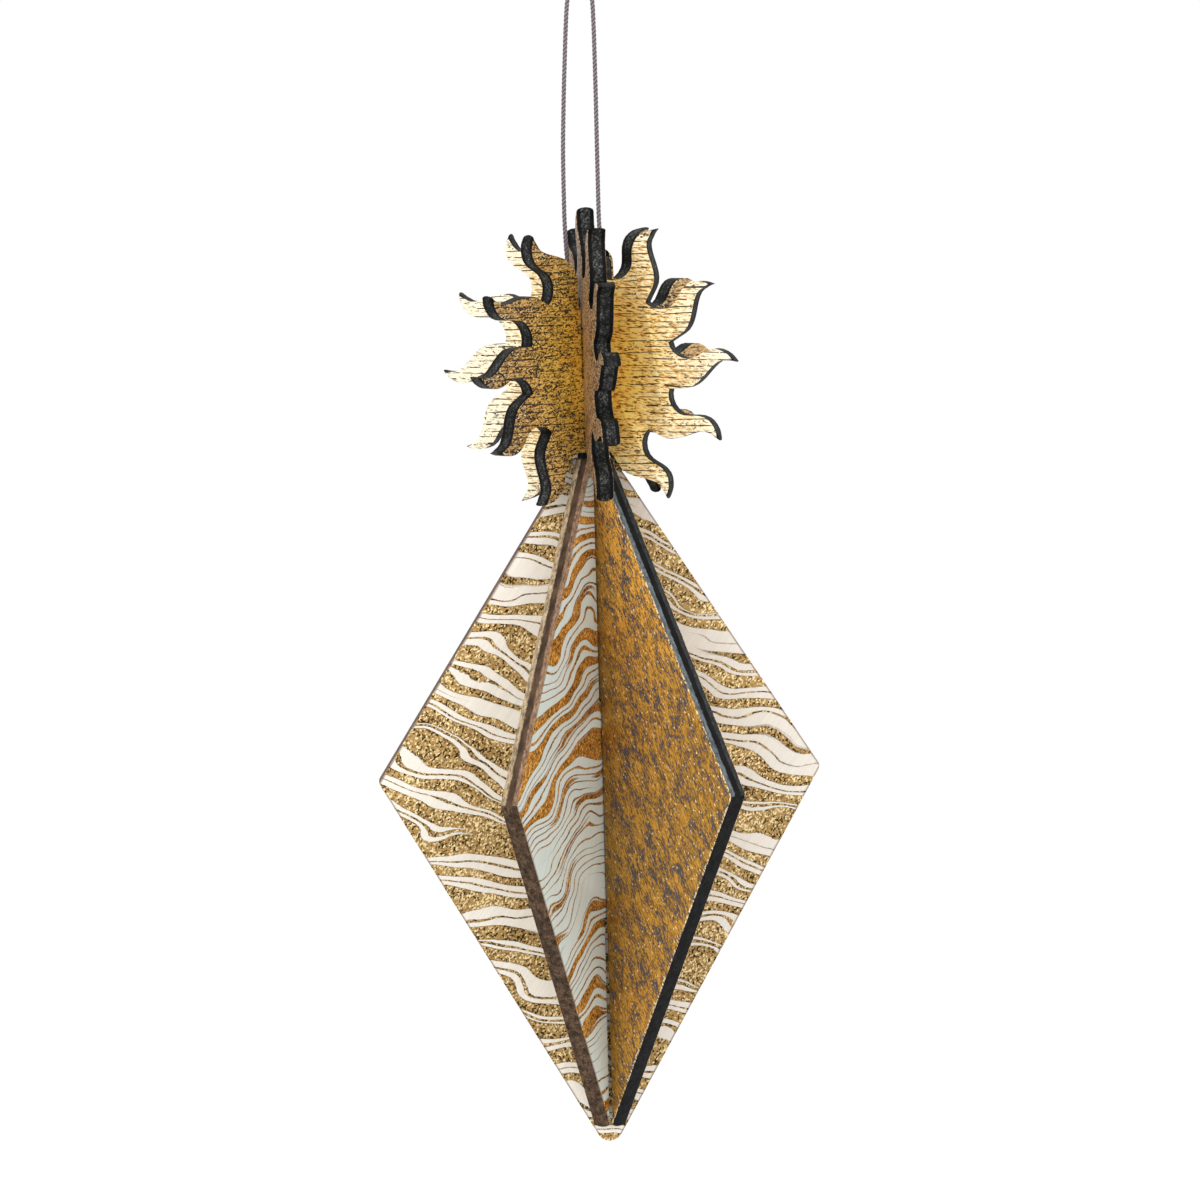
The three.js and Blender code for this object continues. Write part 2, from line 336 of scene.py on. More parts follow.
def dress(material, shade, looks, height, relief, gloss=0.5):
    """Links the looks to the material's surface. Relief is the depth of the height map."""
    surface = material.node_tree.nodes["Principled BSDF"]
    surface.inputs["Specular IOR Level"].default_value = gloss
    bump = shade.node("Bump", None, {"Height": height, "Distance": relief})
    for name, value in {**looks, "Normal": bump}.items():
        if isinstance(value, Shade):
            material.node_tree.links.new(value.socket, surface.inputs[name])
        else:
            surface.inputs[name].default_value = value


# Panels

LONG_SIDE = 10  # millimetres of width that a slanting side of a kite panel covers at least
TIP_CUTS = (-0.85, -0.5, 0, 0.5, 0.85)  # of the half thickness, where a thin tip can bend
WELD_GAP = 0.001 * MM
FLAT_ANGLE = math.radians(0.5)
FACE_LEAN = 0.95  # a face's normal points through the sheet at least this much
EDGE_LEAN = 0.7  # and a cut edge's normal at most this much
EDGE_BORDER = 0.6  # millimetres from a slanting side within which its cut edge lies
FAR_SEED = 4.3  # added to a seed on the far face of a sheet
HAIRLINES = 3  # to each stripe
CREASE_ANGLE = 9  # degrees by which the creases in the sun's foil slant


class PanelPlace:
    """How a flat CAD panel stands: its turn about Z, its half thickness and its widest point."""

    def __init__(self, node):
        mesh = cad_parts[node].data
        normal = max(mesh.polygons, key=lambda polygon: polygon.area).normal
        along = UP.cross(normal)
        self.along = along if along.y > 0 else -along
        self.across = UP.cross(self.along)
        self.turn = math.atan2(self.along.y, self.along.x)
        self.half = max(abs(vertex.co.dot(self.across)) for vertex in mesh.vertices)
        tip = max(mesh.vertices, key=lambda vertex: abs(vertex.co.dot(self.along)))
        self.level = tip.co.z
        self.sides = []
        self.top = 0.0

    def note_sides(self, rim):
        """Keeps the long slanting sides of the outline, as lines in millimetres."""
        for edge in rim:
            ends = sorted((vertex.co for vertex in edge.verts), key=lambda spot: spot.z)
            low, high = [
                Vector((abs(spot.dot(self.along)), spot.z - self.level)) * PER_MM for spot in ends
            ]
            run = high - low
            if abs(run.x) > LONG_SIDE:
                outward = Vector((run.y, -run.x)).normalized()
                self.sides.append((*outward, outward.dot(low)))
                self.top = max(self.top, high.y)


def link_object(name, shape):
    """A new object of the scene, with the mesh or curve that it shows."""
    piece = bpy.data.objects.new(name, shape)
    bpy.context.scene.collection.objects.link(piece)
    return piece


def wear_tips(shape, place, sheet):
    """Rounds the thin tips of an outline through the thickness of the sheet."""
    tips = []
    for edge in shape.edges:
        if edge.is_convex and edge.calc_face_angle(0) > sheet.sharp_angle:
            outward = edge.link_faces[0].normal + edge.link_faces[1].normal
            tips.append((edge.verts[0].co.copy(), outward.normalized()))
    for share in TIP_CUTS:
        everything = shape.verts[:] + shape.edges[:] + shape.faces[:]
        cut = place.across * (place.half * share)
        bmesh.ops.bisect_plane(shape, geom=everything, plane_co=cut, plane_no=place.across)
    for vertex in shape.verts:
        lean = min(abs(vertex.co.dot(place.across)) / place.half, 1)
        drop = 1 - math.sqrt(1 - lean * lean)
        for tip, outward in tips:
            apart = vertex.co - tip
            away = (apart - place.across * apart.dot(place.across)).length / sheet.tip_reach
            if away < 1:
                vertex.co -= outward * (sheet.tip_wear * (1 - away) * drop)
                break


def soft_panel(name, node, place, sheet):
    """A copy of a CAD panel with worn tips and worn corners along its cut edges."""
    shape = bmesh.new()
    shape.from_mesh(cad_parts[node].data)
    bmesh.ops.remove_doubles(shape, verts=shape.verts, dist=WELD_GAP)
    bmesh.ops.dissolve_limit(shape, angle_limit=FLAT_ANGLE, verts=shape.verts, edges=shape.edges)
    wear_tips(shape, place, sheet)
    shape.normal_update()

    def is_rim(edge):
        leans = sorted(abs(face.normal.dot(place.across)) for face in edge.link_faces)
        return leans[0] < EDGE_LEAN and leans[-1] > FACE_LEAN

    rim = [edge for edge in shape.edges if is_rim(edge)]
    place.note_sides(rim)
    bmesh.ops.bevel(
        shape,
        geom=rim,
        offset=sheet.edge_softness,
        offset_type="OFFSET",
        affect="EDGES",
        segments=2,
        profile=0.5,
        clamp_overlap=True,
        material=-1,
    )
    mesh = bpy.data.meshes.new(name)
    shape.to_mesh(mesh)
    shape.free()
    stored = mesh.attributes.get("custom_normal")  # the CAD's normals don't fit the worn shape
    if stored:
        mesh.attributes.remove(stored)
    mesh.shade_smooth()
    mesh.set_sharp_from_angle(angle=sheet.smooth_angle)
    return link_object(name, mesh)


def panel_point(shade, place):
    """Millimetres in a panel's own frame: X along it, Y through it and Z up from its widest point."""
    spot = shade.node("TexCoord", output="Object")
    placing = {
        "Vector": spot,
        "Location": (0, 0, -place.level * PER_MM),
        "Rotation": (0, 0, -place.turn),
        "Scale": (PER_MM, PER_MM, PER_MM),
    }
    return shade.node("Mapping", {"vector_type": "POINT"}, placing)


def panel_material(name, place):
    """A new material with a shader value to start from, the panel's point, its depth under the
    nearer face, and 1 on the faces."""
    material, shade = new_material(name)
    point = panel_point(shade, place)
    depth = place.half * PER_MM - abs(point.split()[1])
    on_face = depth < bpy.context.scene.bauble_sheet.face_wrap * PER_MM
    return material, shade, point, depth, on_face


def turned(shade, point, degrees):
    """A panel's point, turned in the panel's plane so that X runs along the grain."""
    rotation = (0, math.radians(degrees), 0)
    return shade.node("Mapping", {"vector_type": "POINT"}, {"Vector": point, "Rotation": rotation})


def side_seed(point, seed):
    """A noise seed that differs on the two faces of a sheet."""
    return (point.split()[1] > 0) * FAR_SEED + seed


def border(point, place):
    """Distance in from the slanting sides of a kite panel, in millimetres."""
    x, _, z = point.split()
    out = abs(x)
    nearest, *others = [offset - out * right - z * up for right, up, offset in place.sides]
    for other in others:
        nearest = nearest.math("MINIMUM", nearest, other)
    return nearest


# Lengths in the finishes are in millimetres: a noise over a point scaled by 1 / 26 has features
# 26 mm long, and a scale of 0 leaves the thickness of the sheet out.

def wavy_stripes(point, pitch, slant, fill, seed):
    """Wavy bands of uneven width, with hairlines between them: above 0 inside, 0 at a border."""
    x, _, z = point.split()
    seeds = side_seed(point, seed)
    bend = point.scaled(1 / 26, 0, 1 / 20).noise(seeds, detail=1)
    ripple = point.scaled(1 / 11, 0, 1 / 6).noise(seeds + 2.1, detail=1)
    ragged = point.scaled(2, 0, 2).noise(seeds + 3.3, detail=1)
    phase = (z + x * slant) / pitch + bend * 4.4 + ripple * 1.2 + ragged * 0.05
    stations = point.node("CombineXYZ", None, {0: x / 30, 1: 0, 2: phase * 0.85})
    width = stations.noise(seeds + 5.7, detail=1)
    wave = phase.math("SINE", phase * FULL_TURN)
    band = wave + (width - 0.5) * 4.4 + fill
    thin = phase.math("SINE", phase * (HAIRLINES * FULL_TURN))
    hairline = thin + (width - 0.5) * 1.6 - 0.77
    return band.math("MAXIMUM", band, hairline)


def sun_edge(point, depth):
    """Colour of a sun disc's scorched edge, with pale grit on the ends of the fibres."""
    sun = bpy.context.scene.bauble_sun
    outer_ply = sun.outer_ply * PER_MM
    plies = depth.past(outer_ply).mix(sun.edge, sun.core)
    grit = point.scaled(3.8, 3.8, 3.8).flakes(1.7)
    patches = point.scaled(0.4, 0.4, 0.4).noise(2.6, detail=1)
    pale = 0.3 + grit.math("POWER", grit, 3) * 3
    return plies.dimmed(pale * (0.55 + patches.ramp(0.4, 0.62)))


def kite_edge(point, along, depth, place, edge, margins):
    """Colour of a kite panel's burnt edge. Its outer plies are paler where they are cut along the
    grain. Margins are their colours on the right and on the left."""
    width = bpy.context.scene.bauble_kites.margin_width * PER_MM
    x, y, z = point.split()
    along_grain = ((x * z) < 0) * (border(point, place) < EDGE_BORDER)
    fibres = along.scaled(0.7, 2.6, 2.6).noise(3.3, detail=3, roughness=0.7)
    grit = along.scaled(1.8, 3.8, 3.8).flakes(4.1)
    patches = along.scaled(0.3, 0.9, 0.9).noise(7.7, detail=2, roughness=0.6)
    burnt = patches.ramp(0.35, 0.65).mix(tinted(edge, 0.55), tinted(edge, 1.5))
    margin = along_grain.mix(burnt, (y > 0).mix(*margins))
    margin = margin.dimmed(0.3 + fibres.ramp(0.36, 0.64) * 0.7 + grit * 0.7)
    ragged = depth + (point.scaled(1.6, 3, 1.6).noise(6.1, detail=2) - 0.5) * 0.6
    core = along_grain * ragged.past(width)
    return core.mix(margin, burnt)


def striped_finish(name, place, colours, edge, margins, seed, slant, fill, grain):
    """Painted plywood with stripes of foil. Colours: ground, foil, dark flakes, and bright flakes that
    are painted glints. Slant is the rise of the stripes, fill widens them, and grain is the angle of
    the wood in degrees."""
    kite = bpy.context.scene.bauble_kites
    ground, foil, pits, glint = colours
    material, shade, point, depth, on_face = panel_material(name, place)
    stripes = wavy_stripes(point, kite.stripe_pitch * PER_MM, slant, fill, seed)
    stripe = stripes.ramp(-0.08, 0.08)
    along = turned(shade, point, grain)

    fibre = along.scaled(0.12, 1, 3.2).noise(seed, detail=3, roughness=0.6)
    paint = fibre.ramp(0.3, 0.75).mix(tinted(ground, 0.93), tinted(ground, 1.03))
    burn = border(point, place).ramp(0.4, 0.1)
    paint = (burn * 0.7).mix(paint, kite.scorch)

    # Painted sheen and glints: broad patches of brighter or darker foil, and the brightest flakes
    # painted as glints.
    sheen = point.scaled(1 / 9, 0, 1 / 6).noise(side_seed(point, seed + 4), detail=1)
    by_border = stripes.ramp(0.45, 0.05)
    flakes = along.scaled(3.4, 5, 4.2).flakes(seed) + (sheen - 0.5) * 0.7 - by_border * 0.12
    metal = flakes.ramp(0.08, 0.36).mix(pits, foil)
    metal = flakes.ramp(0.66, 0.94).mix(metal, glint)

    face = stripe.mix(paint, metal)
    base = on_face.mix(kite_edge(point, along, depth, place, edge, margins), face)
    leaf = stripe * on_face
    grit = along.scaled(1.6, 0, 2.2).noise(side_seed(point, seed + 1), detail=2, roughness=0.7)
    height = leaf * (0.4 + grit) + (1 - leaf) * fibre * 0.15
    looks = {"Base Color": base, "Roughness": 0.62 - leaf * 0.26, "Metallic": leaf * 0.35}
    dress(material, shade, looks, height, relief=0.16 * MM, gloss=0.12)
    return material


def gold_leaf_finish(name, place, seed, grain):
    """Gold leaf in strokes along a slanting grain, with dark tarnish gathered in patches."""
    kite = bpy.context.scene.bauble_kites
    material, shade, point, depth, on_face = panel_material(name, place)
    seeds = side_seed(point, seed)
    along = turned(shade, point, grain)

    patches = along.scaled(1 / 3, 0, 1 / 1.8).noise(seeds, detail=2)
    strokes = along.scaled(1.2, 5, 5.2).flakes(seed)
    grains = along.scaled(3.2, 5, 5.0).flakes(seed + 9)
    x, _, z = point.split()
    by_axis = abs(x).ramp(10, 2)
    thick = strokes * 0.5 + grains * 0.5 + (patches - 0.5) * 1.2 + by_axis * 0.15
    tone = thick.ramp(0.3, 0.85).mix(kite.dull_leaf, kite.leaf)
    # Painted light and shade: the leaf is painted brighter towards the top, darker towards its outer
    # edges and darker by the axis.
    tone = tone.dimmed(1 + z.ramp(10, 50) * 0.35 - abs(x).ramp(14, 34) * 0.22 - by_axis * 0.4)
    tarnish = thick.ramp(0.4, 0.32)
    face = tarnish.mix(tone, kite.patina)
    # Painted glints on a few grains of the leaf, more along the rim where its edge catches the light.
    rim = border(point, place) < 0.3
    face = (grains > 0.98 - rim * 0.4).mix(face, kite.leaf_glint)
    # The peg above the slanting sides is painted the black of the cut edge.
    black_peg = z.ramp(place.top - 0.5, place.top + 0.2)  # the peg above the slanting sides
    face = black_peg.mix(face, kite.black_edge)

    # The left ply's pale margin carries painted sheen.
    margins = (kite.black_margin, kite.ashen_sheen_margin)
    edge = kite_edge(point, along, depth, place, kite.black_edge, margins)
    base = on_face.mix(edge, face)
    leaf = on_face * (1 - tarnish * 0.8) * (1 - black_peg)
    dashes = along.scaled(0.8, 0, 3.0).noise(seeds + 6, detail=2, roughness=0.6)
    height = on_face * (dashes - tarnish * 0.3)
    looks = {"Base Color": base, "Roughness": 0.58 - leaf * 0.18, "Metallic": leaf * 0.4}
    dress(material, shade, looks, height, relief=0.26 * MM, gloss=0.1)
    return material


def sun_finish(name, place, seed, tones, crest_highlights, wear, cracked):
    """Crinkled gold foil over level grain, with dark cracks and specks. Tones are the foil's colours
    by the axis, farther out and on the rays: warm by the axis with painted interreflection, and pale
    on the rays with painted highlight. Crest highlights are the painted highlights on the crinkles'
    crests by the axis and farther out. Wear and cracked go from 0 to 1."""
    sun = bpy.context.scene.bauble_sun
    material, shade, point, depth, on_face = panel_material(name, place)
    seeds = side_seed(point, seed)
    x, _, z = point.split()

    # Reach is 0 in the middle of a disc and 1 where its painted warm interreflection ends, sooner on
    # its far half.
    away = shade.node("VectorMath", {"operation": "LENGTH"}, {0: point.scaled(1, 0, 0.6)}, "Value")
    reach = (away * 1.07 + x * 0.23) / (sun.warm_reflection_reach * PER_MM)

    drift = point.scaled(1 / 20, 0, 1 / 2.4).noise(seeds, detail=1)
    rows = z / (sun.crack_gap * PER_MM) + drift * 1.8
    lines = rows.math("SINE", rows * FULL_TURN)
    broken = point.scaled(1 / 1.4, 0, 1.6).noise(seeds + 2, detail=2, roughness=0.6)
    gathered = reach.ramp(0.3, 0.9) * reach.ramp(1.9, 1.3) * cracked
    crack = lines.ramp(0.84, 0.94) * (broken + gathered * 0.09).ramp(0.49, 0.54) * cracked

    # Painted light: the tones go from warm interreflection by the axis to paler highlight on the rays.
    by_axis, farther, on_rays = tones
    tone = reach.ramp(0.1, 0.9).mix(by_axis, farther)
    tone = reach.ramp(0.8, 1.5).mix(tone, on_rays)
    patches = point.scaled(1 / 2.4, 0, 1 / 1.5).noise(seeds + 8, detail=2)
    worn = reach.ramp(2.1, 1.5) * (0.4 + reach.ramp(0.1, 0.5) * 0.6) * wear
    tone = tone.dimmed(1 - patches.ramp(0.4, 0.62) * worn * 0.6)
    creases = turned(shade, point, CREASE_ANGLE).scaled(1, 0, 3.6)
    crinkle = creases.noise(seeds + 5, detail=2, roughness=0.6)
    # Painted shade in the hollows of the crinkles, and painted highlights on their crests.
    hollow_shade = reach.ramp(0.5, 1.2).mix(tone.scaled(0.33, 0.21, 0.1), tone.scaled(0.5, 0.47, 0.42))
    tone = crinkle.ramp(0.37, 0.47).mix(hollow_shade, tone)
    crest_highlight = reach.ramp(0.4, 1.0).mix(*crest_highlights)
    tone = (crinkle.ramp(0.48, 0.56) * (0.95 - worn * 0.5)).mix(tone, crest_highlight)

    flakes = point.scaled(4.0, 5, 5.0).flakes(seed)
    bare = (patches - 0.5) * 0.9 + worn * 0.4 + gathered * 0.08 - 0.08
    specks = (flakes - bare).ramp(0.04, -0.04)
    dark = crack.math("MAXIMUM", crack, specks) * 0.96
    face = dark.mix(tone, sun.crack)
    # Painted glints on a few flakes, warm by the axis and pale on the rays.
    glint = reach.ramp(0.6, 1.2).mix(sun.warm_glint, sun.glint)
    bright = flakes > 0.95 - (patches - 0.5) * 0.3
    face = (bright * (0.2 + worn * 0.55)).mix(face, glint)

    base = on_face.mix(sun_edge(point, depth), face)
    leaf = on_face * (1 - dark * 0.8)
    looks = {
        "Base Color": base,
        "Roughness": 0.6 - leaf * 0.08,
        "Metallic": leaf * (0.5 - worn * 0.15),
    }
    height = on_face * (crinkle - crack * 0.4)
    dress(material, shade, looks, height, relief=0.22 * MM, gloss=0.1)
    return material


def add_panel(name, node, slot, finish, material_name, **choices):
    """Adds a panel with its finish, hides the CAD panel it is made from, and says what it moves with.
    """
    place = PanelPlace(node)
    piece = soft_panel(name, node, place, bpy.context.scene.bauble_sheet)
    piece.data.materials.append(finish(material_name, place, **choices))
    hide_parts(node)
    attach(piece, "bauble")


# String

# Routes are in millimetres: out from the axis, across the top disc, and up from the knot's middle.
HOLE_ROUTE = [(0, -56.7), (1.5, -56.7), (2.63, -56.23), (3.1, -55.1)]
LEFT_ROUTE = HOLE_ROUTE + [
    (3.13, -53.66), (3.28, -50.95), (3.52, -46.97), (3.66, -42.98), (3.68, -39),
    (3.62, -31.06), (3.3, -22.53), (2.95, -15.85), (2.6, -9.91), (2.24, -5.83),
    (1.69, -3.61), (1.04, -2.31), (0.75, -1.75),
]
RIGHT_ROUTE = HOLE_ROUTE + [
    (3.02, -53.19), (2.72, -50), (2.42, -46.97), (2.22, -42.98), (2.18, -39),
    (2.18, -31.06), (2.19, -22.53), (2.17, -15.85), (2.12, -9.91), (1.98, -5.83),
    (1.55, -3.61), (1.02, -2.31), (0.75, -1.75),
]
INSIDE_KNOT = (0.54, -0.9)  # where each strand ends, under the turns of the knot
CUT_END_ROUTE = [(0.62, -1.3), (0.5, -0.6), (0.45, 0.6), (0.75, 2.0), (1.3, 4.0), (1.75, 6.0)]
KNOT_TURNS = 2.2
KNOT_STEPS = 44
KNOT_RADIUS = 1.05 * MM
KNOT_CLIMB = 0.85 * MM  # in each turn
KNOT_TUCK = 0.35  # of the knot's radius, where its turns begin and end
YARNS = 3
YARN_OFFSET = 0.26  # of the string's diameter, from its middle to the middle of a yarn
STEPS_PER_TWIST = 12


def placed(route, across, side):
    """The points of a route. Side is -1 for the left of the axis and 1 for the right."""
    return [across * (side * x * MM) + UP * (z * MM) for x, z in route]


def smooth_line(points, per_stretch=24):
    """Points close together on a smooth curve through the given ones."""
    line = [points[0]]
    last = len(points) - 1
    for index in range(last):
        here, there = points[index], points[index + 1]
        leave = (there - points[max(index - 1, 0)]) / 6
        arrive = (points[min(index + 2, last)] - here) / 6
        line += interpolate_bezier(here, here + leave, there - arrive, there, per_stretch)[1:]
    return line


def even_line(line, step):
    """The same line with its points one step apart."""
    travelled = [0.0]
    for here, there in zip(line, line[1:]):
        travelled.append(travelled[-1] + (there - here).length)
    count = max(round(travelled[-1] / step), 2)
    even = []
    index = 0
    for number in range(count + 1):
        wanted = travelled[-1] * number / count
        while index < len(line) - 2 and travelled[index + 1] < wanted:
            index += 1
        share = (wanted - travelled[index]) / (travelled[index + 1] - travelled[index])
        even.append(line[index].lerp(line[index + 1], min(share, 1)))
    return even


def twisted_yarns(curve, line, string):
    """Adds the yarns that wind round each other along a line."""
    yarn_offset = string.diameter * YARN_OFFSET
    tangent = (line[1] - line[0]).normalized()
    side = tangent.orthogonal().normalized()
    yarns = [[] for _ in range(YARNS)]
    travelled = 0.0
    for index, centre in enumerate(line):
        ahead = line[min(index + 1, len(line) - 1)] - line[max(index - 1, 0)]
        side = tangent.rotation_difference(ahead) @ side
        tangent = ahead.normalized()
        if index:
            travelled += (centre - line[index - 1]).length
        for number, yarn in enumerate(yarns):
            turn = FULL_TURN * (travelled / string.twist + number / YARNS)
            yarn.append(centre + Matrix.Rotation(turn, 3, tangent) @ side * yarn_offset)
    for yarn in yarns:
        spline = curve.splines.new("POLY")
        spline.points.add(len(yarn) - 1)
        for spot, place in zip(spline.points, yarn):
            spot.co = (*place, 1)


def string_piece(name, lines, string):
    """A mesh of twisted string along each line."""
    curve = bpy.data.curves.new(name, "CURVE")
    curve.dimensions = "3D"
    curve.bevel_depth = string.diameter * (0.5 - YARN_OFFSET)
    curve.bevel_resolution = 2
    curve.use_fill_caps = True
    even_lines = [even_line(line, string.twist / STEPS_PER_TWIST) for line in lines]
    for line in even_lines:
        twisted_yarns(curve, line, string)
    drawn = link_object(name + "_curve", curve)
    graph = bpy.context.evaluated_depsgraph_get()
    mesh = bpy.data.meshes.new_from_object(drawn.evaluated_get(graph))
    bpy.data.objects.remove(drawn)
    bpy.data.curves.remove(curve)
    mesh.name = name
    mesh.shade_smooth()
    note_rise(mesh, even_lines, string)
    return link_object(name, mesh)


def note_rise(mesh, lines, string):
    """Keeps how far each point stands out from the string's middle, as a share of its radius."""
    spots = [spot for line in lines for spot in line]
    tree = KDTree(len(spots))
    for index, spot in enumerate(spots):
        tree.insert(spot, index)
    tree.balance()
    rise = mesh.attributes.new("rise", "FLOAT", "POINT")
    for vertex, entry in zip(mesh.vertices, rise.data):
        entry.value = tree.find(vertex.co)[2] / (string.diameter / 2)


def string_finish(string):
    """Dull twisted yarn, with painted shade between the yarns and painted light where they stand out,
    and darker and paler fibres.
    """
    material, shade = new_material("grey_mauve_yarn")
    spot = shade.node("TexCoord", output="Object")
    fibre = spot.scaled(6 * PER_MM, 6 * PER_MM, 1.6 * PER_MM).noise(1, detail=3, roughness=0.7)
    rise = shade.node("Attribute", {"attribute_name": "rise"}, output="Fac")
    # Painted shade and light: darker deep between the yarns, paler where they stand out.
    pale = rise.ramp(0.6, 0.98) * 0.75 + (fibre - 0.5) * 1.2 + 0.1
    base = pale.ramp(0, 1).mix(tinted(string.yarn, 0.2), tinted(string.yarn, 2))
    dress(material, shade, {"Base Color": base, "Roughness": 0.72}, fibre, relief=0.05 * MM)
    return material


def knot_lines(across):
    """Centre lines of the knot: two cut ends that run up through it, and the turns round them."""
    lines = [smooth_line(placed(CUT_END_ROUTE, across, side)) for side in (-1, 1)]
    deep = UP.cross(across)
    wrap = []
    for step in range(KNOT_STEPS + 1):
        share = step / KNOT_STEPS
        turn = FULL_TURN * KNOT_TURNS * share
        to_end = min(share, 1 - share) * KNOT_TURNS
        radius = KNOT_RADIUS * min(1, KNOT_TUCK + to_end * 2)
        height = KNOT_CLIMB * KNOT_TURNS * (share - 0.5)
        around = across * math.cos(turn) + deep * math.sin(turn)
        wrap.append(around * radius + UP * height)
    lines.append(wrap)
    return lines


# Operators

SENSOR_WIDTH = 36  # millimetres
FLOOR_GREY = (0.9, 0.9, 0.9, 1)
FLOOR_GLOW = 1.08  # brightness of the plain white that the camera sees on the floor
FLOOR_WHITE = 0.8  # share of that white, over the floor's own grey
WHITE = (1, 1, 1, 1)
LAMPS = (  # name, place and size in metres
    ("key", Vector((-0.62, -0.62, 0.02)), (0.7, 1.1)),
    ("fill", Vector((0.43, -0.74, 0.05)), (0.4, 0.9)),
    ("front", Vector((-0.2, -0.78, 0.0)), (0.6, 0.5)),
    ("top", Vector((0.0, -0.15, 0.75)), (0.9, 0.9)),
)


class BAUBLE_OT_stage(bpy.types.Operator):
    """Set up the camera, the light and the floor"""

    bl_idname = "bauble.stage"
    bl_label = "Stage"

    def execute(self, context):
        stage = context.scene.bauble_stage
        self.add_camera(context, stage)
        self.add_floor(stage)
        self.light_room(context, stage)
        middle = (CAD_BOX[0] + CAD_BOX[1]) / 2
        for name, place, size in LAMPS:
            brightness = getattr(stage, name + "_light")
            self.add_lamp(name + "_lamp", place, middle, size, brightness)
        context.scene.view_settings.view_transform = "Standard"
        return {"FINISHED"}

    @staticmethod
    def add_camera(context, stage):
        """Adds the camera, level but for its pitch and its slight lean."""
        lens = bpy.data.cameras.new("camera")
        lens.lens = stage.lens
        lens.sensor_width = SENSOR_WIDTH
        camera = bpy.data.objects.new("camera", lens)
        context.scene.collection.objects.link(camera)
        place = Vector((stage.camera_right, -stage.camera_back, -stage.camera_drop))
        level_view = Matrix.Rotation(math.pi / 2 - stage.camera_pitch, 4, "X")
        lean = Matrix.Rotation(-stage.camera_roll, 4, "Z")
        camera.matrix_world = Matrix.Translation(place) @ level_view @ lean
        context.scene.camera = camera

    @staticmethod
    def add_floor(stage):
        """Adds a floor well under the bauble that looks plain white."""
        shape = bmesh.new()
        bmesh.ops.create_grid(shape, x_segments=1, y_segments=1, size=stage.floor_width / 2)
        bmesh.ops.translate(shape, verts=shape.verts, vec=UP * (CAD_BOX[0].z - stage.floor_gap))
        mesh = bpy.data.meshes.new("floor")
        shape.to_mesh(mesh)
        shape.free()
        floor = link_object("floor", mesh)
        material, shade = new_material("white_floor")
        matt = shade.node("BsdfDiffuse", None, {"Color": FLOOR_GREY})
        white = shade.node("Emission", None, {"Color": WHITE, "Strength": FLOOR_GLOW})
        share = direct_rays(shade) * FLOOR_WHITE
        mixed = shade.node("MixShader", None, {0: share, 1: matt, 2: white})
        out = material.node_tree.nodes["Material Output"]
        material.node_tree.links.new(mixed.socket, out.inputs["Surface"])
        mesh.materials.append(material)

    @staticmethod
    def light_room(context, stage):
        """Makes the room plain white to look at, and dimmer as a light."""
        world = bpy.data.worlds.new("white_room")
        world.use_nodes = True
        context.scene.world = world
        direct = direct_rays(Shade(world.node_tree))
        strength = direct + (1 - direct) * stage.room_light
        background = world.node_tree.nodes["Background"]
        background.inputs["Color"].default_value = WHITE
        world.node_tree.links.new(strength.socket, background.inputs["Strength"])

    @staticmethod
    def add_lamp(name, place, target, size, brightness):
        """Adds a flat lamp that faces a target. Its brightness doesn't change with its size."""
        lamp = bpy.data.lights.new(name, "AREA")
        lamp.shape = "RECTANGLE"
        lamp.size, lamp.size_y = size
        lamp.energy = brightness * math.pi * size[0] * size[1]
        holder = bpy.data.objects.new(name, lamp)
        holder.location = place
        holder.rotation_mode = "QUATERNION"
        holder.rotation_quaternion = (target - place).to_track_quat("-Z", "Y")
        bpy.context.scene.collection.objects.link(holder)


class BAUBLE_OT_string(bpy.types.Operator):
    """Thread the string through the top disc and knot it"""

    bl_idname = "bauble.string"
    bl_label = "String"

    def execute(self, context):
        string = context.scene.bauble_string
        across = -PanelPlace("top_sun_disc").across
        finish = string_finish(string)
        knot = string_piece("knot", knot_lines(across), string)
        knot.data.materials.append(finish)
        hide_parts("string_knot")
        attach(knot, "knot")
        strands = (
            ("left_string", LEFT_ROUTE, -1, "left_string_strand"),
            ("right_string", RIGHT_ROUTE, 1, "right_string_strand"),
        )
        for name, route, side, node in strands:
            points = placed(route, across, side)
            line = smooth_line(points)
            into_knot = smooth_line(points + placed([INSIDE_KNOT], across, side))
            piece = string_piece(name, [into_knot], string)
            piece.data.materials.append(finish)
            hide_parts(node, "string_bight")
            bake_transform(piece)
            length = sum((there - here).length for here, there in zip(line, line[1:]))
        return {"FINISHED"}


class BAUBLE_OT_kite_panels(bpy.types.Operator):
    """Dress the three kite panels"""

    bl_idname = "bauble.kite_panels"
    bl_label = "Kite panels"

    def execute(self, context):
        kite = context.scene.bauble_kites
        striped = {
            "cream": {
                "colours": (kite.cream, kite.cream_foil, kite.cream_pits, kite.cream_glint),
                "edge": kite.cream_edge,
                "margins": (kite.cream_edge, kite.cream_edge),
                "seed": 3.0,
                "slant": 0.25,
                "fill": 0.0,
                "grain": 55,
            },
            "grey": {
                "colours": (kite.grey, kite.grey_foil, kite.grey_pits, kite.grey_glint),
                "edge": kite.brown_edge,
                "margins": (kite.brown_margin, kite.pale_margin),
                "seed": 17.0,
                "slant": -0.3,
                "fill": -0.8,
                "grain": 57,
            },
        }
        for name, choices in striped.items():
            add_panel(
                name + "_kite",
                name + "_kite_panel",
                name + "_ply",
                striped_finish,
                name + "_striped_ply",
                **choices,
            )
        add_panel(
            "gold_kite",
            "gold_kite_panel",
            "gold_ply",
            gold_leaf_finish,
            "gold_leaf_ply",
            seed=31.0,
            grain=57,
        )
        return {"FINISHED"}


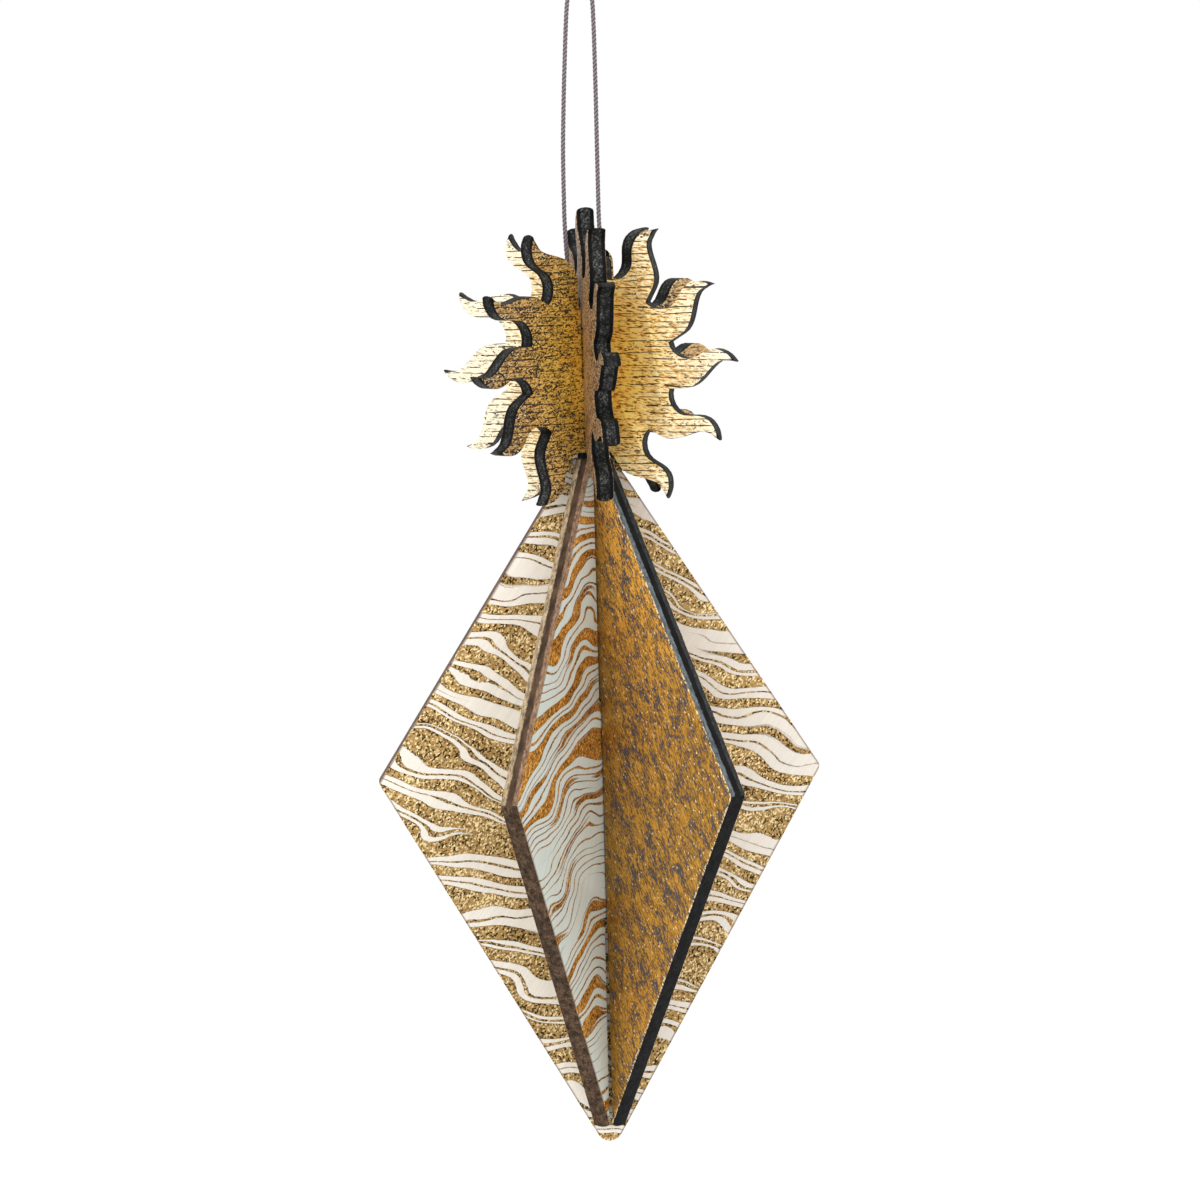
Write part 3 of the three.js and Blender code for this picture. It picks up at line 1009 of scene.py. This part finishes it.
class BAUBLE_OT_sun_discs(bpy.types.Operator):
    """Dress the three sun discs"""

    bl_idname = "bauble.sun_discs"
    bl_label = "Sun discs"

    def execute(self, context):
        sun = context.scene.bauble_sun
        discs = {
            "middle": {
                "seed": 41.0,
                "tones": (sun.warm_reflection_foil, sun.foil, sun.highlit_pale_foil),
                "crest_highlights": (sun.warm_glint, sun.glint),
                "wear": 0.0,
                "cracked": 1.0,
            },
            "lower": {
                "seed": 53.0,
                "tones": (sun.worn_warm_reflection_foil, sun.worn_foil, sun.worn_highlit_pale_foil),
                "crest_highlights": (sun.warm_glint, sun.worn_crest_highlight),
                "wear": 0.75,
                "cracked": 1.0,
            },
            "top": {
                "seed": 67.0,
                # Darker, duller foil: painted shade on this disc, seen almost edge-on.
                "tones": (sun.shaded_dull_foil, sun.shaded_brown_foil, sun.shaded_brown_foil),
                "crest_highlights": (sun.shaded_dull_foil, sun.shaded_dull_foil),
                "wear": 0.2,
                "cracked": 0.0,
            },
        }
        for name, choices in discs.items():
            add_panel(
                name + "_sun",
                name + "_sun_disc",
                "sun_ply",
                sun_finish,
                name + "_sun_foil",
                **choices,
            )
        return {"FINISHED"}


class BAUBLE_PT_pieces(bpy.types.Panel):
    """Lists the steps that dress the bauble"""

    bl_idname = "BAUBLE_PT_pieces"
    bl_label = "Plywood Bauble"
    bl_space_type = "VIEW_3D"
    bl_region_type = "UI"
    bl_category = "Bauble"

    def draw(self, context):
        for step in STEPS:
            self.layout.operator(step.bl_idname)
        for name in SETTINGS:
            box = self.layout.box()
            settings = getattr(context.scene, name)
            for entry in settings.bl_rna.properties:
                if entry.identifier not in ("rna_type", "name"):
                    box.prop(settings, entry.identifier)


STEPS = (BAUBLE_OT_stage, BAUBLE_OT_string, BAUBLE_OT_kite_panels, BAUBLE_OT_sun_discs)
SETTINGS = {
    "bauble_sheet": SheetSettings,
    "bauble_kites": KiteSettings,
    "bauble_sun": SunSettings,
    "bauble_string": StringSettings,
    "bauble_stage": StageSettings,
}
CLASSES = (*SETTINGS.values(), *STEPS, BAUBLE_PT_pieces)


def register():
    for made in CLASSES:
        bpy.utils.register_class(made)
    for name, group in SETTINGS.items():
        setattr(bpy.types.Scene, name, PointerProperty(type=group))


def unregister():
    for name in SETTINGS:
        delattr(bpy.types.Scene, name)
    for made in reversed(CLASSES):
        bpy.utils.unregister_class(made)


def main():
    """Dresses the bauble step by step."""
    register()
    bpy.ops.bauble.stage()
    bpy.ops.bauble.string()
    bpy.ops.bauble.kite_panels()
    bpy.ops.bauble.sun_discs()


if __name__ == "__main__":
    main()
